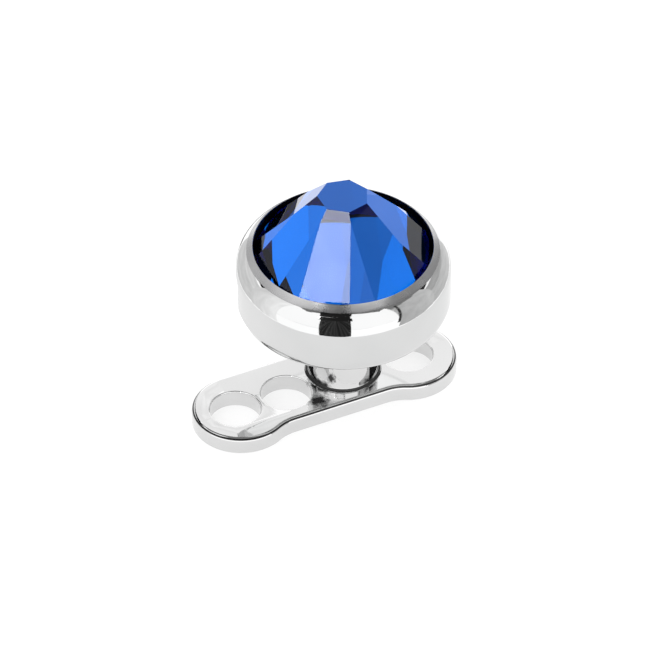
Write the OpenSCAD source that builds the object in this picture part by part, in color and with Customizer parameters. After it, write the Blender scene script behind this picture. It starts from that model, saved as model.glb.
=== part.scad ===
// Dermal anchor with its screw-on gem top.
//
// Three pieces, as on the real jewel:
//   anchor   the foot that lies flat under the skin, with its post, one machined solid
//   gem_cup  the round cup that screws on the post, with its pin, one turned solid
//   stone    the blue cut crystal set in the cup
//
// The origin is on the post's axis, at the underside of the foot. +X runs along the foot
// towards the end that has a single hole, and +Z points up towards the stone. Millimetres.

/* [Foot] */
// Thickness of the foot
foot_t = 0.44; // [0.3:0.02:0.8]
// Diameter of the foot's two round ends
end_d = 2.30; // [1.9:0.05:3]
// Width of the foot at its waist, beside the post
waist_w = 2.07; // [1.9:0.01:2.3]
// Radius of the hollow corners that lead from each end into the waist
waist_round = 1.00; // [0.4:0.1:1.6]
// Bevel along the foot's upper edge
edge_bevel = 0.08; // [0.02:0.01:0.15]

/* [Holes] */
// Diameter of the three holes through the foot
hole_d = 1.18; // [0.6:0.02:1.4]
// Distance from the post's axis to the nearest hole on either side
hole_reach = 1.57; // [1.5:0.01:2.2]
// Distance between the two holes of the long end
hole_step = 1.30; // [1.25:0.05:1.8]
// Distance by which the long end's round centre lies inboard of the outer hole
toe_inset = 0.15; // [0:0.05:0.3]

/* [Post] */
// Diameter of the post
post_d = 1.64; // [1.5:0.02:1.8]
// Height of the post above the foot
post_rise = 1.88; // [1.6:0.02:3]
// Distance by which the post stands behind the middle of the foot
post_set_back = 0.22; // [0:0.02:0.22]
// Radius of the hollow corner where the post meets the foot
post_fillet = 0.10; // [0.02:0.02:0.1]
// Free depth left in the bore under the pin
bore_spare = 0.20; // [0.05:0.05:0.5]
// Radial clearance between the pin and the bore
pin_clear = 0.04; // [0.02:0.01:0.08]

/* [Cup] */
// Widest diameter of the cup
cup_d = 5.00; // [4.6:0.1:6]
// Diameter of the cup's flat underside
base_d = 4.30; // [3.4:0.1:4.4]
// Diameter of the rim's outer edge
rim_d = 4.40; // [4.3:0.05:4.5]
// Diameter of the cup's mouth
mouth_d = 4.16; // [3.6:0.02:4.2]
// Height of the cup up to the rim's outer edge
cup_h = 1.72; // [1.5:0.02:2.4]
// Height at which the wall becomes upright
belly_low = 0.45; // [0.3:0.05:0.6]
// Height at which the wall starts to lean in towards the rim
belly_high = 1.15; // [0.8:0.05:1.3]
// Rise of the rim's bright slope from its outer to its inner edge
rim_rise = 0.13; // [0.04:0.01:0.25]
// Depth of the recess below the rim's inner edge
recess_depth = 0.59; // [0.5:0.01:1.1]
// Diameter of the pin under the cup
pin_d = 1.20; // [1:0.02:1.3]
// Length of the pin under the cup
pin_len = 1.30; // [0.8:0.05:1.7]
// Bevel at the pin's tip
pin_tip = 0.10; // [0.04:0.02:0.2]
// Gap between the cup's underside and the post
seat_gap = 0.02; // [0.01:0.01:0.04]

/* [Stone] */
// Number of large facets round the stone
facet_count = 7; // [6:1:9]
// Clearance between the stone's girdle and the recess wall
stone_clear = 0.08; // [0.03:0.01:0.12]
// Gap between the stone's back and the recess floor
stone_gap = 0.02; // [0.01:0.01:0.04]
// Width of the table, measured over its corners
table_d = 1.20; // [0.8:0.05:2]
// Height of the table above the rim's inner edge
table_rise = 1.47; // [0.6:0.05:1.8]
// Depth of the girdle below the rim's inner edge
girdle_drop = 0.20; // [0.1:0.05:0.4]
// Angle that each small facet takes up along the girdle
small_turn = 17; // [8:1:24]

/* [Hidden] */
$fn = 96;

// Foot: the straight back edge is tangent to both round ends, and the front edge has the waist
end_r = end_d / 2;
mid_y = -post_set_back;
back_y = mid_y + end_r;
front_y = back_y - waist_w;
outer_hole_x = -hole_reach - hole_step;
long_end_x = outer_hole_x + toe_inset;
short_end_x = hole_reach;
foot_bevel = min(edge_bevel, foot_t / 2);
corner_y = front_y - waist_round;
corner_dx = sqrt(pow(end_r + waist_round, 2) - pow(mid_y - corner_y, 2));

// Heights along the post's axis
post_top = foot_t + post_rise;
cup_z = post_top + seat_gap;
rim_z = cup_z + cup_h;
mouth_z = rim_z + rim_rise;
floor_z = mouth_z - recess_depth;
stone_z = floor_z + stone_gap;
girdle_z = mouth_z - girdle_drop;
table_z = mouth_z + table_rise;

// Post and pin
post_r = post_d / 2;
bore_r = pin_d / 2 + pin_clear;
bore_depth = pin_len - seat_gap + bore_spare;

// Cup wall: two arcs that meet the upright belly smoothly
cup_r = cup_d / 2;
low_arc_r = arc_radius(cup_r - base_d / 2, belly_low);
high_arc_r = arc_radius(cup_r - rim_d / 2, cup_h - belly_high);

// Stone: slopes that take the facets from the table's sides to the girdle
stone_r = mouth_d / 2 - stone_clear;
half_step = 180 / facet_count;
table_reach = table_d / 2 * cos(half_step);
main_slope = atan((table_z - girdle_z) / (stone_r - table_reach));
// Where each small facet's tip lies, as a share of the way from a table corner to the girdle
SMALL_TIPS = [0.55, 0.55, 0.50, 0.35, 0.15, 0.12, 0.60];
// Size of the block that cuts a facet
facet_block = 2 * cup_d;
// Overlap that lets a cut pass cleanly through a face
cut = 0.5;

// Radius of the arc that leaves an upright wall and reaches `inward` in over `rise` in height
function arc_radius(inward, rise) = (inward * inward + rise * rise) / (2 * inward);

// Height of a large facet's plane at `reach` from the axis, seen square to the facet
function main_height(reach) = table_z - (reach - table_reach) * tan(main_slope);

// One layer of the foot, whose outline shrinks evenly from `low_inset` to `high_inset`
module foot_layer(h, low_inset, high_inset) {
    for (end_x = [long_end_x, short_end_x])
        translate([end_x, mid_y, 0])
            cylinder(h = h, r1 = end_r - low_inset, r2 = end_r - high_inset);
    foot_bar(h, low_inset, high_inset);
    for (side = [[long_end_x, 1], [short_end_x, -1]])
        waist_corner(h, side[0], side[1], low_inset, high_inset);
}

// The straight stretch between the foot's two ends
module foot_bar(h, low_inset, high_inset) {
    section = [
        [front_y + low_inset, 0],
        [back_y - low_inset, 0],
        [back_y - high_inset, h],
        [front_y + high_inset, h],
    ];
    translate([long_end_x, 0, 0])
        rotate([90, 0, 90])
            linear_extrude(height = short_end_x - long_end_x)
                polygon(section);
}

// The hollow corner between one end and the waist; `way` is 1 where the waist lies towards +X
module waist_corner(h, end_x, way, low_inset, high_inset) {
    corner_x = end_x + way * corner_dx;
    difference() {
        linear_extrude(height = h)
            polygon([[end_x, mid_y], [corner_x, corner_y], [corner_x, mid_y]]);
        translate([corner_x, corner_y, 0])
            cylinder(h = h, r1 = waist_round + low_inset, r2 = waist_round + high_inset);
    }
}

module foot() {
    difference() {
        union() {
            foot_layer(foot_t - foot_bevel, 0, 0);
            translate([0, 0, foot_t - foot_bevel])
                foot_layer(foot_bevel, 0, foot_bevel);
        }
        for (hole_x = [outer_hole_x, -hole_reach, hole_reach])
            translate([hole_x, mid_y, -cut])
                cylinder(h = foot_t + 2 * cut, d = hole_d);
    }
}

// The post, with a hollow corner round its base
module post() {
    cylinder(h = post_top, r = post_r);
    cylinder(h = foot_t, r = post_r + post_fillet);
    translate([0, 0, foot_t])
        rotate_extrude()
            difference() {
                square([post_r + post_fillet, post_fillet]);
                translate([post_r + post_fillet, post_fillet])
                    circle(r = post_fillet);
            }
}

module anchor() {
    color([0.84, 0.85, 0.87])
        difference() {
            union() {
                foot();
                post();
            }
            translate([0, 0, post_top - bore_depth])
                cylinder(h = bore_depth + cut, r = bore_r);
        }
}

// Half of the cup's section, from its axis out to the wall, without the recess
module cup_section() {
    intersection() {
        union() {
            square([cup_r - low_arc_r, belly_low]);
            translate([cup_r - low_arc_r, belly_low])
                circle(r = low_arc_r);
        }
        square([cup_r, belly_low]);
    }
    translate([0, belly_low])
        square([cup_r, belly_high - belly_low]);
    intersection() {
        union() {
            translate([0, belly_high])
                square([cup_r - high_arc_r, cup_h - belly_high]);
            translate([cup_r - high_arc_r, belly_high])
                circle(r = high_arc_r);
        }
        translate([0, belly_high])
            square([cup_r, cup_h - belly_high]);
    }
    polygon([[0, cup_h], [rim_d / 2, cup_h], [mouth_d / 2, cup_h + rim_rise], [0, cup_h + rim_rise]]);
}

// The pin, with a bevel at its tip, hanging from the cup's underside
module pin() {
    translate([0, 0, cup_z - pin_len + pin_tip])
        cylinder(h = pin_len - pin_tip + cut, d = pin_d);
    translate([0, 0, cup_z - pin_len])
        cylinder(h = pin_tip, r1 = pin_d / 2 - pin_tip, r2 = pin_d / 2);
}

module gem_cup() {
    color([0.88, 0.89, 0.91]) {
        difference() {
            translate([0, 0, cup_z])
                rotate_extrude()
                    cup_section();
            translate([0, 0, floor_z])
                cylinder(h = recess_depth + cut, d = mouth_d);
        }
        pin();
    }
}

// Everything above a sloping plane that passes `reach` from the axis at height `z`
module above_facet(angle, slope, reach, z) {
    rotate([0, 0, angle])
        translate([reach, 0, z])
            rotate([0, slope, 0])
                translate([-facet_block / 2, -facet_block / 2, 0])
                    cube(facet_block);
}

// The small facet on the ridge between two large ones, whose tip lies `tip` of the way down
module small_facet(angle, tip) {
    tip_r = table_d / 2 + tip * (stone_r - table_d / 2);
    tip_z = main_height(tip_r * cos(half_step));
    end_r = stone_r * cos(small_turn / 2);
    end_z = main_height(stone_r * cos(half_step - small_turn / 2));
    above_facet(angle, atan((tip_z - end_z) / (end_r - tip_r)), tip_r, tip_z);
}

module stone() {
    color([0.10, 0.35, 0.85])
        difference() {
            translate([0, 0, stone_z])
                cylinder(h = table_z - stone_z, r = stone_r);
            for (i = [0 : facet_count - 1]) {
                above_facet(half_step * (2 * i + 1), main_slope, table_reach, table_z);
                small_facet(2 * half_step * i, SMALL_TIPS[i % len(SMALL_TIPS)]);
            }
        }
}

anchor();
gem_cup();
stone();
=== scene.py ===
# %% [markdown]
# # A dermal anchor with a gem top
#
# This is a very small jewel, under 7 mm long. A steel foot lies under the skin, a post stands on
# it, and a round steel cup with a blue crystal screws onto the post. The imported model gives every
# size and place. It has flat little faces, though, and polished steel shows each of them, so this
# lesson models the three pieces again with smooth, exact curves, and then gives them their finish.

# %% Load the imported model
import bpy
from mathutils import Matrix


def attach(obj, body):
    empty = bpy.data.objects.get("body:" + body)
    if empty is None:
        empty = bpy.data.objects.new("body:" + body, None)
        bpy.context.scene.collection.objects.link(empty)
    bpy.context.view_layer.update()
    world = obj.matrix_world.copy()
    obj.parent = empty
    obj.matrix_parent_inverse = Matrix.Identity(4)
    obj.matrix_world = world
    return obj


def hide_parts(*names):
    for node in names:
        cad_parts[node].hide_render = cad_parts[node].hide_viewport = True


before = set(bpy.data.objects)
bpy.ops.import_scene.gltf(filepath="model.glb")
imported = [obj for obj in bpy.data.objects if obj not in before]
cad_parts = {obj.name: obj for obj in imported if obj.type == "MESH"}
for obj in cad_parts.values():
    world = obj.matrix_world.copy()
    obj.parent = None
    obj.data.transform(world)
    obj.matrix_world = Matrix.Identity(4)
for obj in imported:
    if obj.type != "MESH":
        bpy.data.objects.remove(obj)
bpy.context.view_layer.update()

from math import atan, atan2, cos, degrees, hypot, pi, radians, sin, sqrt, tan

import bpy
from mathutils import Matrix, Vector

scene = bpy.context.scene

# %% [markdown]
# ## Working in millimetres
#
# Blender's modelling tools merge and bevel by small distances that suit a chair, and a piece this
# small would fall inside them. So each piece is modelled a thousand times too large, with one unit
# for one millimetre, and is scaled down when it is finished. A few small helpers select vertices
# by their place, because there is no mouse to select them with.

# %% Helpers for modelling in millimetres
MM = 0.001
NEAR = 1e-4


def deselect_all():
    """Nothing is selected, so an operator touches only what is picked after this."""
    if bpy.context.object and bpy.context.object.mode != "OBJECT":
        bpy.ops.object.mode_set(mode="OBJECT")
    bpy.ops.object.select_all(action="DESELECT")


def begin(name):
    """Names the primitive that was just added."""
    piece = bpy.context.object
    piece.name = name
    piece.data.name = name
    return piece


def activate(piece):
    """Makes one piece the only selected and active one, in object mode."""
    deselect_all()
    piece.select_set(True)
    bpy.context.view_layer.objects.active = piece


def pick(piece, wanted, mode="VERT"):
    """Selects the piece's vertices, edges or faces that `wanted` accepts, enters edit mode and
    returns how many there are."""
    activate(piece)
    mesh = piece.data
    lists = {"VERT": mesh.vertices, "EDGE": mesh.edges, "FACE": mesh.polygons}
    for elements in lists.values():
        elements.foreach_set("select", [False] * len(elements))
    count = 0
    for element in lists[mode]:
        if wanted(element):
            element.select = True
            count += 1
    bpy.context.tool_settings.mesh_select_mode = [mode == m for m in ("VERT", "EDGE", "FACE")]
    bpy.ops.object.mode_set(mode="EDIT")
    return count


def ends(mesh, edge):
    """The two end points of an edge."""
    return [mesh.vertices[i].co for i in edge.vertices]


def apply_modifiers(piece):
    """Makes the result of a piece's modifiers its mesh."""
    activate(piece)
    for modifier in list(piece.modifiers):
        bpy.ops.object.modifier_apply(modifier=modifier.name)


def to_metres(piece):
    """Scales a finished piece down to its real size, with its place kept in its mesh."""
    activate(piece)
    bpy.ops.object.transform_apply(location=True, rotation=True, scale=True)
    piece.scale = (MM, MM, MM)
    bpy.ops.object.transform_apply(location=True, rotation=True, scale=True)


def report(piece, unit=1000.0):
    """Prints a piece's size, and how many of its edges don't join two faces."""
    corners = [unit * v.co for v in piece.data.vertices]
    low = [round(min(c[i] for c in corners), 3) for i in range(3)]
    high = [round(max(c[i] for c in corners), 3) for i in range(3)]
    uses = {}
    for face in piece.data.polygons:
        for key in face.edge_keys:
            uses[key] = uses.get(key, 0) + 1
    odd = sum(1 for n in uses.values() if n != 2) + len(piece.data.edges) - len(uses)
    print(f"{piece.name}: {len(piece.data.polygons)} faces, mm {low} to {high}, odd edges {odd}")


# %% [markdown]
# ## The camera
#
# The photograph looks down at about 41 degrees, a little from the left, with a long lens. The
# camera looks at a point near the middle of the jewel.

# %% Place the camera
AZIMUTH = radians(-25.5)
ELEVATION = radians(41.0)
DISTANCE = 0.160
SENSOR = 36.0
PHOTO_PIXELS = 650
PIXELS_PER_MM = 43.2
AIM_HEIGHT = 2.34
AIM_LEFT = 0.4167
AIM_DOWN = 0.440
back = Vector((sin(AZIMUTH) * cos(ELEVATION), -cos(AZIMUTH) * cos(ELEVATION), sin(ELEVATION)))
right = Vector((cos(AZIMUTH), sin(AZIMUTH), 0))
up = back.cross(right)
aim = Vector((0, 0, AIM_HEIGHT * MM)) - right * AIM_LEFT * MM - up * AIM_DOWN * MM

camera_data = bpy.data.cameras.new("camera")
camera_data.sensor_width = SENSOR
camera_data.lens = SENSOR * DISTANCE / (PHOTO_PIXELS / PIXELS_PER_MM * MM)
camera_data.clip_start = 0.01
camera_data.clip_end = 5.0
camera = bpy.data.objects.new("camera", camera_data)
scene.collection.objects.link(camera)
camera.location = aim + back * DISTANCE
camera.rotation_mode = "QUATERNION"
camera.rotation_quaternion = back.to_track_quat("Z", "Y")
scene.camera = camera
print("lens in mm:", round(camera_data.lens, 1))

# %% [markdown]
# ## The foot
#
# The real foot is punched from a steel strip and tumbled until its edges are round. Its outline is
# two round ends, a straight back and a shallow waist in front. It is drawn as a draughtsman would:
# one point is spun round each centre in turn, which is the compass, and extruded along the waist,
# which is the ruler. Filling the line closes it along its straight back, and an extrusion gives
# the foot its thickness.

# %% Draw the foot's outline
FOOT_T = 0.44
END_R = 1.15
WAIST_W = 2.07
MID_Y = -0.22  # the post stands this far behind the middle of the foot
BACK_Y = MID_Y + END_R
FRONT_Y = BACK_Y - WAIST_W
HOLE_R = 0.59
HOLES_X = (-2.87, -1.57, 1.57)
TOE_INSET = 0.15  # the long end's round centre lies this far inboard of the outer hole
LONG_END_X = HOLES_X[0] + TOE_INSET
SHORT_END_X = HOLES_X[2]
WAIST_ROUND = 1.00
CORNER_Y = FRONT_Y - WAIST_ROUND
CORNER_DX = sqrt((END_R + WAIST_ROUND) ** 2 - (MID_Y - CORNER_Y) ** 2)
CORNER_TURN = pi / 2 - atan2(MID_Y - CORNER_Y, CORNER_DX)
END_TURN = pi + CORNER_TURN
END_STEPS = 72
CORNER_STEPS = 12


def spin_point(angle, centre, steps):
    """Turns the selected point round a centre, anticlockwise from above, and leaves its trail."""
    bpy.ops.mesh.spin(steps=steps, angle=angle, center=(*centre, 0), axis=(0, 0, -1))


# A small plane merged at its centre is the single point that the compass moves.
deselect_all()
bpy.ops.mesh.primitive_plane_add(size=0.1, location=(0, 0, 0))
steel_anchor = begin("steel_anchor")
bpy.ops.object.mode_set(mode="EDIT")
bpy.ops.mesh.select_all(action="SELECT")
bpy.ops.mesh.merge(type="CENTER")
bpy.ops.transform.translate(value=(LONG_END_X, BACK_Y, 0))
spin_point(END_TURN, (LONG_END_X, MID_Y), END_STEPS)
spin_point(-CORNER_TURN, (LONG_END_X + CORNER_DX, CORNER_Y), CORNER_STEPS)
waist_length = SHORT_END_X - LONG_END_X - 2 * CORNER_DX
bpy.ops.mesh.extrude_region_move(TRANSFORM_OT_translate={"value": (waist_length, 0, 0)})
spin_point(-CORNER_TURN, (SHORT_END_X - CORNER_DX, CORNER_Y), CORNER_STEPS)
spin_point(END_TURN, (SHORT_END_X, MID_Y), END_STEPS)
bpy.ops.mesh.select_all(action="SELECT")
bpy.ops.mesh.remove_doubles(threshold=NEAR)
bpy.ops.mesh.edge_face_add()
bpy.ops.mesh.extrude_region_move(TRANSFORM_OT_translate={"value": (0, 0, FOOT_T)})
bpy.ops.mesh.select_all(action="SELECT")
bpy.ops.mesh.normals_make_consistent(inside=False)
deselect_all()
report(steel_anchor, 1.0)

# %% [markdown]
# ## Rounded edges and drilled holes
#
# Tumbling rounds the foot's upper edge most. A bevel of several steps gives that round edge. It
# matters for the look, because such an edge mirrors everything from the wall of the room to its
# ceiling in one thin line. The three holes let tissue grow through and anchor the jewel. They are
# cut with a Boolean modifier, as a drill would, and their rims are bevelled a little too.

# %% Round the foot's edges
EDGE_ROUND = 0.11
UNDER_ROUND = 0.05
HOLE_ROUND = 0.035
ON_RIM = 0.002  # how near an edge lies to a hole's radius if it is part of that hole's rim


def bevel_edges(piece, wanted, offset, segments):
    """Rounds the edges whose ends `wanted` accepts, and returns how many there are."""
    count = pick(piece, lambda edge: wanted(*ends(piece.data, edge)), "EDGE")
    bpy.ops.mesh.bevel(offset=offset, offset_type="OFFSET", segments=segments, profile=0.5,
                       clamp_overlap=False)
    deselect_all()
    return count


def both_at(z, *points):
    """Whether all the points lie at one height."""
    return all(abs(p.z - z) < NEAR for p in points)


top_edges = bevel_edges(steel_anchor, lambda a, b: both_at(FOOT_T, a, b), EDGE_ROUND, segments=8)
low_edges = bevel_edges(steel_anchor, lambda a, b: both_at(0, a, b), UNDER_ROUND, segments=3)
print("edges rounded above and below:", top_edges, low_edges)
report(steel_anchor, 1.0)

# %% Drill the three holes
HOLE_SIDES = 96


def cut_with(piece, tool, operation):
    """Cuts or joins one piece with another, which is used up."""
    modifier = piece.modifiers.new(operation.lower(), "BOOLEAN")
    modifier.operation = operation
    modifier.object = tool
    modifier.solver = "EXACT"
    apply_modifiers(piece)
    bpy.data.objects.remove(tool)


def on_hole_rim(z):
    """A test for edges that lie on a hole's rim at one height."""
    def wanted(a, b):
        return both_at(z, a, b) and any(
            all(abs(hypot(p.x - x, p.y - MID_Y) - HOLE_R) < ON_RIM for p in (a, b))
            for x in HOLES_X)
    return wanted


for hole_x in HOLES_X:
    deselect_all()
    bpy.ops.mesh.primitive_cylinder_add(vertices=HOLE_SIDES, radius=HOLE_R, depth=3 * FOOT_T,
                                        location=(hole_x, MID_Y, FOOT_T / 2))
    cut_with(steel_anchor, begin("drill"), "DIFFERENCE")
rim_edges = [bevel_edges(steel_anchor, on_hole_rim(z), HOLE_ROUND, segments=3)
             for z in (FOOT_T, 0)]
print("rim edges rounded:", rim_edges)
report(steel_anchor, 1.0)

# %% [markdown]
# ## The post
#
# The post is turned on a lathe, with a small hollow corner where it meets the foot and a threaded
# bore for the top's screw. Here it grows from a disc that is extruded and scaled ring by ring along
# its profile. The thread itself stays out, because the top slides in this model. A Boolean union
# then makes foot and post one piece of metal.

# %% Turn the post and join it to the foot
POST_R = 0.82
POST_RISE = 1.88
POST_TOP = FOOT_T + POST_RISE
SEAT_GAP = 0.02
CUP_Z = POST_TOP + SEAT_GAP
PIN_R = 0.60
PIN_LENGTH = 1.30
PIN_CLEAR = 0.04
BORE_SPARE = 0.20
BORE_R = PIN_R + PIN_CLEAR
BORE_Z = CUP_Z - PIN_LENGTH - BORE_SPARE
FILLET = 0.10
TOP_ROUND = 0.06
BORE_EDGE = 0.03
BORE_FLOOR_ROUND = 0.06
ROOT_Z = 0.12  # the disc that the post grows from lies inside the foot, and the union removes it
POST_SIDES = 128


def arc(centre, radius, start, stop, steps):
    """Points of a profile along an arc, from one angle to another, as (reach, height)."""
    angles = [radians(start + (stop - start) * i / steps) for i in range(steps + 1)]
    return [(centre[0] + radius * cos(a), centre[1] + radius * sin(a)) for a in angles]


def turn_piece(name, profile, sides):
    """Extrudes and scales a disc ring by ring along a turned piece's profile."""
    deselect_all()
    reach, height = profile[0]
    bpy.ops.mesh.primitive_circle_add(vertices=sides, radius=reach, fill_type="NGON",
                                      location=(0, 0, height))
    piece = begin(name)
    bpy.ops.object.transform_apply(location=True)
    bpy.ops.object.mode_set(mode="EDIT")
    bpy.context.tool_settings.mesh_select_mode = (False, False, True)
    bpy.ops.mesh.select_all(action="SELECT")
    for (old_reach, old_height), (reach, height) in zip(profile, profile[1:]):
        lift = (0, 0, height - old_height)
        bpy.ops.mesh.extrude_region_move(TRANSFORM_OT_translate={"value": lift})
        share = reach / old_reach
        bpy.ops.transform.resize(value=(share, share, 1), center_override=(0, 0, height))
    bpy.ops.mesh.select_all(action="SELECT")
    bpy.ops.mesh.normals_make_consistent(inside=False)
    deselect_all()
    return piece


post_profile = [(POST_R + FILLET, ROOT_Z)]
post_profile += arc((POST_R + FILLET, FOOT_T + FILLET), FILLET, -90, -180, steps=8)
post_profile += arc((POST_R - TOP_ROUND, POST_TOP - TOP_ROUND), TOP_ROUND, 0, 90, steps=5)
post_profile += arc((BORE_R + BORE_EDGE, POST_TOP - BORE_EDGE), BORE_EDGE, 90, 180, steps=3)
post_profile += arc((BORE_R - BORE_FLOOR_ROUND, BORE_Z + BORE_FLOOR_ROUND),
                    BORE_FLOOR_ROUND, 0, -90, steps=4)
post = turn_piece("post", post_profile, POST_SIDES)
report(post, 1.0)
cut_with(steel_anchor, post, "UNION")
report(steel_anchor, 1.0)

# %% [markdown]
# ## Smooth shading that keeps flat faces flat
#
# Shading smooth over a rounded edge would also bend the light on the flat face beside it, and
# polished steel shows that at once. The Weighted Normal modifier gives the large faces the say, so
# flat stays flat and all the turning of the light happens on the rounded edge.

# %% Shade the anchor and scale it down
def shade_and_scale(piece, angle):
    """Merges doubles, shades smooth up to an angle, weights the normals and scales to metres."""
    pick(piece, lambda vertex: True)
    bpy.ops.mesh.remove_doubles(threshold=NEAR)
    bpy.ops.mesh.dissolve_degenerate(threshold=NEAR)
    bpy.ops.mesh.select_all(action="SELECT")
    bpy.ops.mesh.normals_make_consistent(inside=False)
    activate(piece)
    to_metres(piece)
    bpy.ops.object.shade_smooth_by_angle(angle=radians(angle))
    modifier = piece.modifiers.new("flat stays flat", "WEIGHTED_NORMAL")
    modifier.mode = "FACE_AREA"
    modifier.weight = 50
    modifier.keep_sharp = True
    apply_modifiers(piece)
    report(piece)


shade_and_scale(steel_anchor, angle=40)
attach(steel_anchor, "foot_and_post")
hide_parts("anchor")

# %% [markdown]
# ## The cup
#
# The cup is turned from steel bar in one go: the pin that goes into the post, a flat underside, a
# round belly, and a rim that is rolled inwards a little to hold the crystal. Its profile is made of
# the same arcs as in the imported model. The belly is the surface that shows most of the room.

# %% Turn the cup
CUP_R = 2.50
BASE_R = 2.15
RIM_R = 2.20
MOUTH_R = 2.08
CUP_H = 1.72
RIM_RISE = 0.13
RECESS_DEPTH = 0.59
BELLY_LOW = CUP_Z + 0.45
BELLY_HIGH = CUP_Z + 1.15
RIM_Z = CUP_Z + CUP_H
MOUTH_Z = RIM_Z + RIM_RISE
FLOOR_Z = MOUTH_Z - RECESS_DEPTH
PIN_TIP = 0.10
PIN_CORNER = 0.03
BASE_RING = 0.10  # the narrow ring of faces just inside the underside's edge
MOUTH_ROUND = 0.02
MOUTH_DROP = 0.0217  # how far the rim's slope falls over the width of that round
RECESS_ROUND = 0.05
BELLY_STEPS = 18
CUP_SIDES = 160


def belly_arc(inward, rise):
    """The radius of an arc that leaves the upright belly and reaches `inward` over `rise`."""
    return (inward ** 2 + rise ** 2) / (2 * inward)


low_r = belly_arc(CUP_R - BASE_R, BELLY_LOW - CUP_Z)
high_r = belly_arc(CUP_R - RIM_R, RIM_Z - BELLY_HIGH)
low_turn = degrees(atan2(BELLY_LOW - CUP_Z, BASE_R - (CUP_R - low_r)))
high_turn = degrees(atan2(RIM_Z - BELLY_HIGH, RIM_R - (CUP_R - high_r)))

cup_profile = [(PIN_R - PIN_TIP, CUP_Z - PIN_LENGTH), (PIN_R, CUP_Z - PIN_LENGTH + PIN_TIP)]
cup_profile += [(PIN_R, CUP_Z - PIN_CORNER), (PIN_R + PIN_CORNER, CUP_Z)]
cup_profile += [(BASE_R - BASE_RING, CUP_Z)]
cup_profile += arc((CUP_R - low_r, BELLY_LOW), low_r, -low_turn, 0, BELLY_STEPS)
cup_profile += arc((CUP_R - high_r, BELLY_HIGH), high_r, 0, high_turn, BELLY_STEPS)
cup_profile += [(MOUTH_R + MOUTH_ROUND, MOUTH_Z - MOUTH_DROP)]
cup_profile += arc((MOUTH_R + MOUTH_ROUND, MOUTH_Z - MOUTH_ROUND),
                   MOUTH_ROUND, 90, 180, steps=3)[1:]
cup_profile += [(MOUTH_R, FLOOR_Z + RECESS_ROUND)]
cup_profile += arc((MOUTH_R - RECESS_ROUND, FLOOR_Z + RECESS_ROUND),
                   RECESS_ROUND, 0, -90, steps=4)[1:]
steel_cup = turn_piece("steel_cup", cup_profile, CUP_SIDES)
print("arc radii in mm:", round(low_r, 3), round(high_r, 3))
report(steel_cup, 1.0)
shade_and_scale(steel_cup, angle=12)
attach(steel_cup, "gem_top")
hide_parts("gem_cup")

# %% [markdown]
# ## The crystal
#
# A cutter grinds a crystal against a flat wheel, one facet after another, at set angles. Bisect
# does the same: it cuts the round blank with a plane, clears what lies outside it and fills the
# cut with one flat face. Seven large facets lean from the table to the girdle, and a small facet
# breaks each ridge between them, with its tip at a given share of the way down. The underside is
# left flat, because a foil goes on it.

# %% Cut the crystal
STONE_CLEAR = 0.08
STONE_GAP = 0.02
GIRDLE_DROP = 0.20
TABLE_RISE = 1.47
STONE_R = MOUTH_R - STONE_CLEAR
STONE_Z = FLOOR_Z + STONE_GAP
GIRDLE_Z = MOUTH_Z - GIRDLE_DROP
TABLE_Z = MOUTH_Z + TABLE_RISE
TABLE_R = 0.60
FACETS = 7
SMALL_HALF = radians(17 / 2)  # half the angle that a small facet takes up along the girdle
SMALL_TIPS = [0.55, 0.55, 0.50, 0.35, 0.15, 0.12, 0.60]
STONE_SIDES = 160
HALF_STEP = pi / FACETS
TABLE_REACH = TABLE_R * cos(HALF_STEP)
MAIN_SLOPE = atan((TABLE_Z - GIRDLE_Z) / (STONE_R - TABLE_REACH))


def main_height(reach):
    """The height of a large facet at a distance from the axis, measured square to the facet."""
    return TABLE_Z - (reach - TABLE_REACH) * tan(MAIN_SLOPE)


def grind(angle, slope, reach, height):
    """Grinds one facet: cuts off what lies outside a sloping plane and fills the cut."""
    bpy.ops.mesh.select_all(action="SELECT")
    bpy.ops.mesh.bisect(
        plane_co=(reach * cos(angle), reach * sin(angle), height),
        plane_no=(sin(slope) * cos(angle), sin(slope) * sin(angle), cos(slope)),
        use_fill=True, clear_outer=True, threshold=NEAR)


deselect_all()
bpy.ops.mesh.primitive_cylinder_add(vertices=STONE_SIDES, radius=STONE_R,
                                    depth=TABLE_Z - STONE_Z,
                                    location=(0, 0, (STONE_Z + TABLE_Z) / 2))
crystal = begin("crystal")
bpy.ops.object.transform_apply(location=True)
bpy.ops.object.mode_set(mode="EDIT")
for i in range(FACETS):
    grind(HALF_STEP * (2 * i + 1), MAIN_SLOPE, TABLE_REACH, TABLE_Z)
for i, tip in enumerate(SMALL_TIPS):
    tip_r = TABLE_R + tip * (STONE_R - TABLE_R)
    tip_z = main_height(tip_r * cos(HALF_STEP))
    edge_r = STONE_R * cos(SMALL_HALF)
    edge_z = main_height(STONE_R * cos(HALF_STEP - SMALL_HALF))
    grind(2 * HALF_STEP * i, atan((tip_z - edge_z) / (edge_r - tip_r)), tip_r, tip_z)
deselect_all()
report(crystal, 1.0)
to_metres(crystal)
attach(crystal, "gem_top")
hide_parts("stone")
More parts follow.
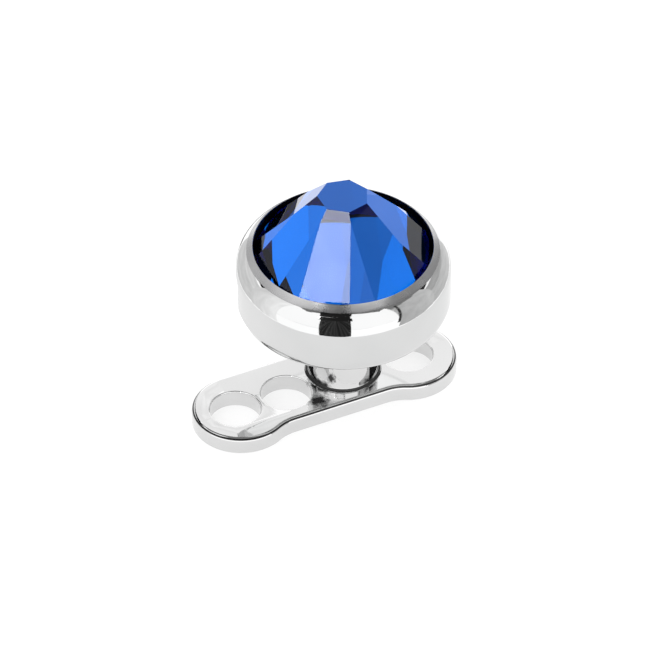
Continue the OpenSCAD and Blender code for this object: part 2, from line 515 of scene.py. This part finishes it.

# %% [markdown]
# ## Polished steel
#
# The steel is ground, then polished on a soft wheel. It mirrors about two thirds of the light,
# and what tells it from a perfect mirror is small: a faint haze where the wheel left it, and hair
# lines from turning that run round the cup and the post. Both go into the roughness and a very
# weak bump. The rolled rim is burnished with a hard tool and stays rougher than the belly, and its
# darker colour is painted dark reflection. Inside the recess the metal is near black: painted
# shade.
# A thin dark line in the corner round the post and along the shoulder of the foot's round edge,
# and a few dark spots near the post, are painted dark reflection.

# %% Helpers for materials
def blank_material(name):
    """A new material with one Principled shader, and nothing feeding it yet."""
    material = bpy.data.materials.new(name)
    material.use_nodes = True
    tree = material.node_tree
    tree.nodes.clear()
    shader = tree.nodes.new("ShaderNodeBsdfPrincipled")
    output = tree.nodes.new("ShaderNodeOutputMaterial")
    tree.links.new(shader.outputs[0], output.inputs["Surface"])
    return material, tree, shader


def feed(tree, socket, value):
    """Links a node's output to a socket, or sets the socket to a plain value."""
    if isinstance(value, bpy.types.NodeSocket):
        tree.links.new(value, socket)
    else:
        socket.default_value = value


def add(tree, kind, *values, out=0, **settings):
    """Adds a node, sets its properties, feeds its inputs in order and returns one output."""
    node = tree.nodes.new("ShaderNode" + kind)
    for key, value in settings.items():
        setattr(node, key, value)
    for socket, value in zip(node.inputs, values):
        feed(tree, socket, value)
    return node.outputs[out]


def maths(tree, operation, *values):
    """Adds one step of arithmetic."""
    return add(tree, "Math", *values, operation=operation)


def noise(tree, vector, scale, detail=3.0, roughness=0.5):
    """Cloudy noise from 0 to 1, whose features are about 1/scale wide."""
    node = tree.nodes.new("ShaderNodeTexNoise")
    tree.links.new(vector, node.inputs["Vector"])
    node.inputs["Scale"].default_value = scale
    node.inputs["Detail"].default_value = detail
    node.inputs["Roughness"].default_value = roughness
    return node.outputs["Fac"]


def spread(tree, value, low, high, new_low, new_high):
    """Stretches a range of values to another range, and clamps what lies outside."""
    return add(tree, "MapRange", value, low, high, new_low, new_high)


def mix_colours(tree, share, first, second):
    """Mixes two plain colours, from the first at a share of 0 to the second at 1."""
    return add(tree, "MixRGB", share, (*first, 1), (*second, 1))


def object_place(tree):
    """The place on the piece, in its own coordinates."""
    return add(tree, "TexCoord", out=3)


def clouds(tree, place, scale, detail):
    """Soft noise stretched so that it covers the whole range from 0 to 1."""
    return spread(tree, noise(tree, place, scale, detail), 0.3, 0.7, 0.0, 1.0)


def round_the_axis(tree, place, along, turns):
    """Object coordinates wound round the Z axis, so that noise becomes lines round a piece."""
    apart = tree.nodes.new("ShaderNodeSeparateXYZ")
    tree.links.new(place, apart.inputs[0])
    x, y, z = apart.outputs
    squares = maths(tree, "ADD", maths(tree, "MULTIPLY", x, x), maths(tree, "MULTIPLY", y, y))
    reach = maths(tree, "MULTIPLY", maths(tree, "SQRT", squares), along)
    angle = maths(tree, "MULTIPLY", maths(tree, "ARCTAN2", y, x), turns)
    return add(tree, "CombineXYZ", reach, angle, maths(tree, "MULTIPLY", z, along))


# %% Mix the steel finishes
# The colour of the dark spots near the post, which are painted dark reflection
PAINTED_DARK_COLOUR = (0.04, 0.04, 0.04, 1)
DARK_SPOT_EDGE = (0.18, 0.34)  # where a painted dark spot starts and ends its fading, past its reach
RAGGED = 0.5
CORNER_LINE = (0.005, 0.065)  # where the painted dark line in the post's corner runs, off its wall
SHOULDER_LINE = (0.018, 0.046)  # where the painted dark line on the foot's edge runs, below its top
HOLE_MARGIN = 0.1
RIM_MARGIN = 0.03
FLOOR_MARGIN = 0.01
FACE_LINE = 0.001  # how far past a flat face a centre must be to lie off that face


def steel_finish(name, dark, light, smooth, hazy, line_strength, dark_spots=()):
    """Steel from `dark` to `light`, with roughness from `smooth` to `hazy` and turning lines. A
    dark spot is painted dark reflection, given by its place and its reach in millimetres."""
    material, tree, shader = blank_material(name)
    place = object_place(tree)
    colour = mix_colours(tree, clouds(tree, place, scale=420.0, detail=2.0), dark, light)
    # Each spot darkens the base colour round its place: painted dark reflection
    for spot_place, spot_reach in dark_spots:
        apart = add(tree, "VectorMath", place, Vector(spot_place) * MM, operation="SUBTRACT")
        away = add(tree, "VectorMath", apart, out=1, operation="LENGTH")
        rough_noise = noise(tree, place, scale=7000.0, detail=4.0, roughness=0.7)
        ragged = maths(tree, "MULTIPLY", rough_noise, RAGGED * MM)
        painted_spot = spread(tree, maths(tree, "ADD", away, ragged),
                        (spot_reach + DARK_SPOT_EDGE[0]) * MM, (spot_reach + DARK_SPOT_EDGE[1]) * MM,
                        0.0, 1.0)
        colour = add(tree, "MixRGB", painted_spot, PAINTED_DARK_COLOUR, colour)
    feed(tree, shader.inputs["Base Color"], colour)
    shader.inputs["Metallic"].default_value = 1.0
    wound = round_the_axis(tree, place, along=14.0, turns=0.0006)
    lines = noise(tree, wound, scale=2600.0, detail=2.0)
    haze = spread(tree, noise(tree, place, scale=2200.0, detail=4.0), 0.35, 0.75, smooth, hazy)
    feed(tree, shader.inputs["Roughness"],
         maths(tree, "ADD", haze, spread(tree, lines, 0.5, 0.8, 0.0, 0.04)))
    bump = tree.nodes.new("ShaderNodeBump")
    bump.inputs["Strength"].default_value = line_strength
    bump.inputs["Distance"].default_value = 0.004 * MM
    tree.links.new(lines, bump.inputs["Height"])
    tree.links.new(bump.outputs[0], shader.inputs["Normal"])
    return material


def give_finishes(piece, finishes):
    """Puts finishes in a piece's material slots. The first covers it until faces are painted."""
    for finish in finishes:
        piece.data.materials.append(finish)


def paint_faces(piece, index, wanted):
    """Gives a material slot to the faces that `wanted` accepts, by their centre in millimetres."""
    count = 0
    for face in piece.data.polygons:
        if wanted(face.center / MM):
            face.material_index = index
            count += 1
    print(f"{piece.name}: {count} faces of {piece.data.materials[index].name}")


def reach(point, x=0.0, y=0.0):
    """How far a point is from an upright axis."""
    return hypot(point.x - x, point.y - y)


def on_post_corner(p):
    """Whether a point lies in the hollow corner where the post meets the foot."""
    near, far = CORNER_LINE
    return POST_R + near < reach(p) < POST_R + far and p.z > FOOT_T + FACE_LINE


def on_edge_shoulder(p):
    """Whether a point lies midway down the foot's round upper edge, away from the holes."""
    near, far = SHOULDER_LINE
    clear_of_holes = all(reach(p, x, MID_Y) > HOLE_R + HOLE_MARGIN for x in HOLES_X)
    return FOOT_T - far < p.z < FOOT_T - near and clear_of_holes


# Each painted dark spot's place, and its reach: painted dark reflection near the post
PAINTED_DARK_SPOTS = [((-1.02, -0.82, FOOT_T), 0.18), ((-0.72, -0.14, 0.50), 0.20),
          ((-0.65, -0.36, 0.45), 0.18), ((0.30, -0.66, 0.46), 0.18)]
ANCHOR_FINISHES = [
    steel_finish("anchor_steel", (0.66, 0.66, 0.66), (0.72, 0.72, 0.72),
                 smooth=0.03, hazy=0.07, line_strength=0.10, dark_spots=PAINTED_DARK_SPOTS),
    # Painted dark reflection: the dark line in the post's corner and on the shoulder of the foot's
    # edge
    steel_finish("painted_dark_lines", (0.02, 0.02, 0.02), (0.06, 0.06, 0.06),
                 smooth=0.25, hazy=0.45, line_strength=0.30)]
CUP_FINISHES = [
    steel_finish("cup_steel", (0.60, 0.605, 0.605), (0.66, 0.66, 0.66),
                 smooth=0.03, hazy=0.07, line_strength=0.12),
    # The rim is rougher, and its darker colour is painted dark reflection
    steel_finish("burnished_rim_painted_dark", (0.29, 0.29, 0.295), (0.47, 0.47, 0.475),
                 smooth=0.22, hazy=0.40, line_strength=0.30),
    # Near black inside the recess: painted shade
    steel_finish("recess_painted_shade", (0.02, 0.02, 0.025), (0.05, 0.05, 0.055),
                 smooth=0.35, hazy=0.55, line_strength=0.30)]
give_finishes(steel_anchor, ANCHOR_FINISHES)
give_finishes(steel_cup, CUP_FINISHES)
# The faces in the post's corner and on the edge's shoulder get painted dark reflection
paint_faces(steel_anchor, 1, lambda p: on_post_corner(p) or on_edge_shoulder(p))
# The rim's faces get the rougher finish with painted dark reflection
paint_faces(steel_cup, 1, lambda p: p.z > RIM_Z - RIM_MARGIN and reach(p) > MOUTH_R)
# The recess faces get painted shade
paint_faces(steel_cup, 2, lambda p: FLOOR_Z - FLOOR_MARGIN < p.z < MOUTH_Z and reach(p) < MOUTH_R)

# %% [markdown]
# ## Blue crystal, its foil and its dark girdle
#
# The crystal is blue glass. Light goes in through one facet, is thrown back by a metal foil on the
# flat underside, and leaves through another facet, so each facet shows a patch of the room from
# elsewhere. That is why neighbouring facets differ so much in tone. The same mesh carries three
# finishes: clear blue glass, a mirror on the underside, and dark lacquer round the girdle's hidden
# wall, which draws the dark band just under the table.

# %% Make the glass, the foil and the lacquer
ON_WALL = 0.999  # a face on the girdle's wall has its centre beyond this share of the radius


def glass_finish():
    """Clear blue glass, whose polish varies a little."""
    material, tree, shader = blank_material("blue_crystal")
    place = object_place(tree)
    feed(tree, shader.inputs["Base Color"],
         mix_colours(tree, clouds(tree, place, scale=500.0, detail=2.0),
                     (0.002, 0.155, 0.64), (0.004, 0.175, 0.72)))
    shader.inputs["Transmission Weight"].default_value = 1.0
    shader.inputs["IOR"].default_value = 1.54
    shader.inputs["Specular Tint"].default_value = (0.46, 0.47, 0.56, 1)
    feed(tree, shader.inputs["Roughness"],
         spread(tree, noise(tree, place, scale=3000.0), 0.45, 0.75, 0.0, 0.006))
    return material


def backing_finish(name, dark, light, metallic, smooth, rough):
    """A foil or lacquer from `dark` to `light`, with roughness from `smooth` to `rough`."""
    material, tree, shader = blank_material(name)
    place = object_place(tree)
    feed(tree, shader.inputs["Base Color"],
         mix_colours(tree, clouds(tree, place, scale=900.0, detail=3.0), dark, light))
    shader.inputs["Metallic"].default_value = metallic
    feed(tree, shader.inputs["Roughness"],
         spread(tree, noise(tree, place, scale=5000.0), 0.4, 0.7, smooth, rough))
    return material


CRYSTAL_FINISHES = [
    glass_finish(),
    backing_finish("crystal_foil", (0.78, 0.84, 0.96), (0.86, 0.90, 1.0),
                   metallic=1.0, smooth=0.01, rough=0.03),
    backing_finish("girdle_lacquer", (0.03, 0.010, 0.30), (0.05, 0.015, 0.42),
                   metallic=0.0, smooth=0.3, rough=0.5)]
give_finishes(crystal, CRYSTAL_FINISHES)
paint_faces(crystal, 1, lambda p: p.z < STONE_Z + FACE_LINE)
paint_faces(crystal, 2, lambda p: p.z > STONE_Z + FACE_LINE and reach(p) > ON_WALL * STONE_R)

# %% [markdown]
# ## The studio
#
# Small polished pieces are photographed in a white tent: everything round them is pale, and a few
# dark cards draw the crisp dark accents that make steel look like steel. The table is a pale board
# that glows a little, as a light table does, so shadows stay faint. A card here is seen only by
# mirrors or only by the inside of the crystal, as each of them needs its own dark accents. One
# card is small and very bright: the crystal's palest facet mirrors it. A white ring lies round the
# jewel, where the polished walls of the cup and the foot mirror the table.

# %% Lay the table
TABLE_SIZE = 2.0
TABLE_GLOW = 0.74
deselect_all()
bpy.ops.mesh.primitive_plane_add(size=TABLE_SIZE, location=(0, 0, 0))
table_top = begin("table_top")
table_material, table_tree, table_shader = blank_material("pale_board")
feed(table_tree, table_shader.inputs["Base Color"],
     mix_colours(table_tree, noise(table_tree, object_place(table_tree), scale=60.0),
                 (0.24, 0.24, 0.24), (0.27, 0.27, 0.27)))
table_shader.inputs["Roughness"].default_value = 0.9
table_shader.inputs["Specular IOR Level"].default_value = 0.0
table_shader.inputs["Emission Color"].default_value = (1, 1, 1, 1)
table_shader.inputs["Emission Strength"].default_value = TABLE_GLOW
table_top.data.materials.append(table_material)

# %% Set up the tent and a lamp
TENT_GLOW = 1.5
LAMP_OFF = 0.5
FAR_OFF = 0.4
world = bpy.data.worlds.new("tent")
scene.world = world
world.use_nodes = True
sky = world.node_tree.nodes["Background"]
sky.inputs["Color"].default_value = (1, 1, 1, 1)
sky.inputs["Strength"].default_value = TENT_GLOW


def towards(turn, rise):
    """The direction at `turn` degrees round from the camera's own, anticlockwise from above, and
    `rise` degrees above the table."""
    angle = AZIMUTH + radians(turn)
    return Vector((sin(angle) * cos(radians(rise)), -cos(angle) * cos(radians(rise)),
                   sin(radians(rise))))


def softbox(name, turn, rise, width, height, brightness):
    """A lamp that faces the jewel. Its brightness is what a mirror would show of it."""
    data = bpy.data.lights.new(name, "AREA")
    data.shape = "RECTANGLE"
    data.size = width
    data.size_y = height
    data.energy = brightness * pi * width * height
    lamp = bpy.data.objects.new(name, data)
    scene.collection.objects.link(lamp)
    lamp.location = towards(turn, rise) * LAMP_OFF
    lamp.rotation_mode = "QUATERNION"
    lamp.rotation_quaternion = towards(turn, rise).to_track_quat("Z", "Y")
    lamp.visible_camera = False
    return lamp


def paper(name, shade, far_shade=None, grain=(4.0, 4.0, 4.0), darkest=0.88):
    """Paper that shows its tone to a mirror, with faint clouds. The tone may pass evenly into
    `far_shade` towards the edge that lies anticlockwise round the jewel, seen from above."""
    material, tree, shader = blank_material(name)
    shader.inputs["Base Color"].default_value = (0, 0, 0, 1)
    shader.inputs["Specular IOR Level"].default_value = 0.0
    shader.inputs["Emission Color"].default_value = (1, 1, 1, 1)
    place = object_place(tree)
    apart = tree.nodes.new("ShaderNodeSeparateXYZ")
    tree.links.new(place, apart.inputs[0])
    far_shade = shade if far_shade is None else far_shade
    tone = spread(tree, apart.outputs[0], -0.5, 0.5, shade, far_shade)
    stretched = add(tree, "VectorMath", place, grain, operation="MULTIPLY")
    cloud = noise(tree, stretched, scale=1.0, detail=4.0)
    feed(tree, shader.inputs["Emission Strength"],
         maths(tree, "MULTIPLY", tone, spread(tree, cloud, 0.35, 0.7, darkest, 1.06)))
    return material


def show_to(piece, inside):
    """Only mirrors see the piece, or only the inside of the crystal does."""
    piece.visible_camera = False
    piece.visible_diffuse = False
    piece.visible_shadow = False
    piece.visible_glossy = not inside
    piece.visible_transmission = inside


def card(name, centre, facing, width, height, shade, inside=False, tilt=0.0, flare=1.0,
         **paper_settings):
    """A card at a place, facing a direction. Its upper edge is `flare` times its lower one."""
    deselect_all()
    bpy.ops.mesh.primitive_plane_add(size=1.0)
    piece = begin(name)
    if flare != 1.0:
        pick(piece, lambda vertex: vertex.co.y > 0)
        bpy.ops.transform.resize(value=(flare, 1, 1), center_override=(0, 0, 0))
        deselect_all()
    piece.scale = (width, height, 1)
    piece.location = centre
    piece.rotation_mode = "QUATERNION"
    turned = Matrix.Rotation(radians(tilt), 4, "Z").to_quaternion()
    piece.rotation_quaternion = facing.to_track_quat("Z", "Y") @ turned
    piece.data.materials.append(paper(name, shade, **paper_settings))
    show_to(piece, inside)


def far_card(name, turn, rise, wide, high, shade, inside=False, far_shade=None):
    """A card far off, `wide` and `high` degrees large as the jewel sees it."""
    width = 2 * FAR_OFF * tan(radians(wide / 2))
    height = 2 * FAR_OFF * tan(radians(high / 2))
    facing = towards(turn, rise)
    card(name, facing * FAR_OFF, facing, width, height, shade, inside, far_shade=far_shade)


def standing_card(name, turn, distance, width, low, high, shade, tilt=0.0, far_shade=None):
    """An upright card close to the jewel, from the height `low` to `high`, in millimetres."""
    facing = towards(turn, 0)
    centre = facing * distance * MM + Vector((0, 0, (low + high) / 2 * MM))
    card(name, centre, facing, width * MM, (high - low) * MM, shade, tilt=tilt,
         far_shade=far_shade)


def lying_card(name, x, y, width, length, height, shade):
    """A card flat on the table, in millimetres."""
    card(name, Vector((x, y, height)) * MM, Vector((0, 0, 1)), width * MM, length * MM, shade)


def aimed_card(name, place, turn, rise, distance, width, height, shade, **paper_settings):
    """A card as a place on the jewel sees it in one direction, with its sizes in millimetres."""
    facing = towards(turn, rise)
    card(name, place + facing * distance * MM, facing, width * MM, height * MM, shade,
         **paper_settings)


key = softbox("key", -36.5, 38, 0.20, 0.21, brightness=2.5)
key.visible_glossy = False

# %% Hang the cards that steel mirrors
pale_facet = towards(-13.1, 0) * 1.25 * MM + Vector((0, 0, 5.60 * MM))
aimed_card("spark", pale_facet, -26, 39.8, 60.0, 3.4, 4.8, 15.6)
far_card("back_pale", 180, 41, 30, 24, 1.22)
far_card("overhead", 180, 88, 64, 64, 0.25)
far_card("left_flag", -132, 42, 60, 15, 0.02)
far_card("right_flag", 132, 42, 60, 15, 0.02)
far_card("left_pale", -125, 14, 60, 30, 1.0)
far_card("right_pale", 124, 14, 56, 30, 0.6)
standing_card("left_grey", -76, 9.0, 5.2, 0.0, 24.0, 0.96, far_shade=1.35)
standing_card("left_far", -116, 9.0, 8.0, 0.0, 5.0, 0.92)
standing_card("right_grey", 70, 9.0, 6.6, 0.0, 10.5, 0.66, far_shade=0.85)
standing_card("right_upper", 70, 9.0, 6.6, 10.5, 24.0, 0.30)
standing_card("right_far", 114, 9.0, 8.0, 0.0, 5.0, 0.74, far_shade=0.95)
standing_card("right_strip", 53.4, 8.9, 0.42, 2.2, 12.0, 0.04, tilt=-9.5)
lying_card("back_dark", 0.9, 9.9, 6.0, 2.6, 0.04, 0.12)
lying_card("back_glow", 1.0, 4.1, 7.0, 4.0, 0.03, 1.9)

# %% Lay the white ring
RING_R = 8.6
RING_GROWTH = 40
RING_Z = 0.02
deselect_all()
bpy.ops.mesh.primitive_circle_add(vertices=96, radius=RING_R * MM, fill_type="NOTHING",
                                  location=(0, 0, 0))
white_ring = begin("white_ring")
bpy.ops.object.mode_set(mode="EDIT")
bpy.ops.mesh.select_all(action="SELECT")
bpy.ops.mesh.extrude_edges_move()
bpy.ops.transform.resize(value=[RING_GROWTH] * 3, center_override=(0, 0, 0))
bpy.ops.object.mode_set(mode="OBJECT")
white_ring.location.z = RING_Z * MM
white_ring.data.materials.append(paper("white_ring", 1.62))
show_to(white_ring, inside=False)

# %% [markdown]
# ## The lens and the room behind the crystal
#
# The dark block on the cup's belly is the lens of the camera, which a polished bowl always shows.
# Three dark cards stand in for it: a long one below the line of sight, a small one close to the
# jewel and a wide one above. Four more cards are for the crystal alone. They are what its facets
# pick up by way of the foil: darkness in front, pale walls behind and a ceiling.

# %% Hang the lens card and the cards inside the crystal
LENS_LENGTH = 54.0
LENS_WIDTH = 1.42
ahead = towards(-8, 0)
across = Vector((-ahead.y, ahead.x, 0))
lens_slope = towards(-8, 41)
lens_low = ahead * 3.7 * MM + across * 0.165 * MM + Vector((0, 0, 2.87 * MM))
card("lens", lens_low + lens_slope * LENS_LENGTH / 2 * MM, towards(172, 49), LENS_WIDTH * MM,
     LENS_LENGTH * MM, 0.08, flare=17.4, grain=(9.0, 1.6, 1.0), darkest=0.0)
standing_card("lens_hood", -6.6, 5.2, 2.7, 5.9, 7.02, 0.02)
belly_top = towards(-5, 0) * 2.3 * MM + Vector((0, 0, 4.0 * MM))
aimed_card("lens_cap", belly_top, -10, 56.5, 32.0, 15.2, 11.3, 0.02, flare=0.88)
far_card("room_in_front", 0, 30, 110, 66, 0.012, inside=True)
far_card("wall_behind", 168, 41, 40, 42, 1.25, far_shade=0.85, inside=True)
far_card("wall_aside", 207, 41, 38, 42, 0.55, far_shade=1.0, inside=True)
far_card("ceiling", 180, 86, 50, 50, 0.80, inside=True)

scene.view_settings.view_transform = "Standard"
